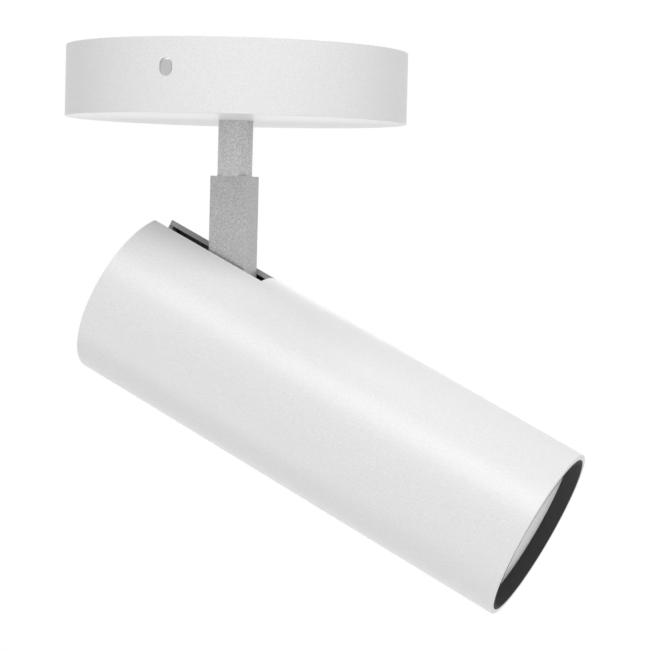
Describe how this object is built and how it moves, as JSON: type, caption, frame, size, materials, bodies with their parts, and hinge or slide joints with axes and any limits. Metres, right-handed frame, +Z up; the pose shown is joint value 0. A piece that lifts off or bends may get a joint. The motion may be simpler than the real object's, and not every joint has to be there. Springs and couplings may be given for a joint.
{
  "type": "monopoint spotlight",
  "caption": "Ceiling spotlight with a round canopy, a swivelling stem and a slotted cylinder head that tilts on the stem's flat tongue.",
  "frame": {"origin": "centre of the canopy's ceiling plane, midway between the two screw slots of the crossbar bracket", "axes": "+Z up to the ceiling box along the stem's swivel axis, +X the way the head points, +Y along the crossbar bracket"},
  "size_m": [0.1936, 0.1244, 0.1961],
  "materials": {
    "white_canopy": "white powder coat",
    "white_head": "white powder coat, black inside",
    "silver_stem": "satin silver-grey lacquer",
    "black_ring": "matte black",
    "white_cap": "white powder coat",
    "zinc_steel": "bright zinc plate",
    "dark_steel": "black oxide",
    "earth_green": "green lacquer",
    "tinned_brass": "tin plate",
    "bare_brass": "bright",
    "cast_aluminium": "as extruded",
    "polished_aluminium": "polished",
    "board_green": "solder mask",
    "board_white": "white ceramic",
    "phosphor": "yellow phosphor",
    "white_plastic": "moulded",
    "black_plastic": "moulded",
    "nylon": "natural",
    "transformer_dark": "ferrite and tape",
    "capacitor_sleeve": "shrink sleeve",
    "rubber_black": "matte",
    "silicone_grey": "soft pad",
    "lead_black": "sheath",
    "lead_red": "core insulation",
    "lead_earth": "core insulation",
    "frosted_glass": "frosted"
  },
  "bodies": {
    "canopy": {"canopy_shell": "white_canopy", "ceiling_bracket": "zinc_steel", "canopy_locking_screws": "dark_steel", "earth_screw": "earth_green", "earth_ring_terminal": "tinned_brass", "earth_lead": "lead_earth", "terminal_block": "white_plastic", "terminal_inserts": "bare_brass", "terminal_screws": "zinc_steel", "driver_case": "white_plastic", "driver_base": "white_plastic", "driver_circuit_board": "board_green", "driver_transformer": "transformer_dark", "driver_capacitors": "capacitor_sleeve", "driver_nuts": "zinc_steel", "driver_input_leads": "lead_black", "driver_output_leads": "lead_red", "swivel_hub": "zinc_steel", "hub_nuts": "zinc_steel", "swivel_bush": "nylon", "stop_pin": "dark_steel"},
    "stem": {"stem_rod": "silver_stem", "stem_retaining_ring": "dark_steel", "thrust_washer": "nylon", "stop_washer": "zinc_steel", "wave_washer": "dark_steel", "stem_nut": "zinc_steel", "stem_grommet": "rubber_black", "stem_tongue": "silver_stem", "tongue_grub_screw": "dark_steel", "stem_lead": "lead_black", "tilt_lead": "lead_black"},
    "head": {"head_tube": "white_head", "rear_cap": "white_cap", "cap_screws": "dark_steel", "cap_pillars": "zinc_steel", "pivot_yoke": "dark_steel", "yoke_screws": "zinc_steel", "bulkhead_grommet": "rubber_black", "pivot_bolt": "dark_steel", "pivot_lock_nut": "zinc_steel", "pivot_friction_washers": "nylon", "pivot_spring_washer": "dark_steel", "heat_sink": "cast_aluminium", "chassis_screws": "dark_steel", "thermal_pad": "silicone_grey", "led_board": "board_white", "led_emitter": "phosphor", "led_holder": "white_plastic", "led_holder_screws": "zinc_steel", "head_lead": "lead_black", "led_leads": "lead_red", "reflector": "polished_aluminium", "lens_gasket": "rubber_black", "lens": "frosted_glass", "front_ring": "black_ring"}
  },
  "joints": [
    {"name": "canopy_swivel", "type": "hinge", "parent": "canopy", "child": "stem", "pos_m": [0, 0, 0], "axis": [0, 0, 1], "range_deg": [-165, 165], "deforming": ["driver_output_leads"]},
    {"name": "head_tilt", "type": "hinge", "parent": "stem", "child": "head", "pos_m": [0, 0, -0.1104], "axis": [0, 1, 0], "range_deg": [-13, 64], "deforming": ["tilt_lead"]}
  ]
}
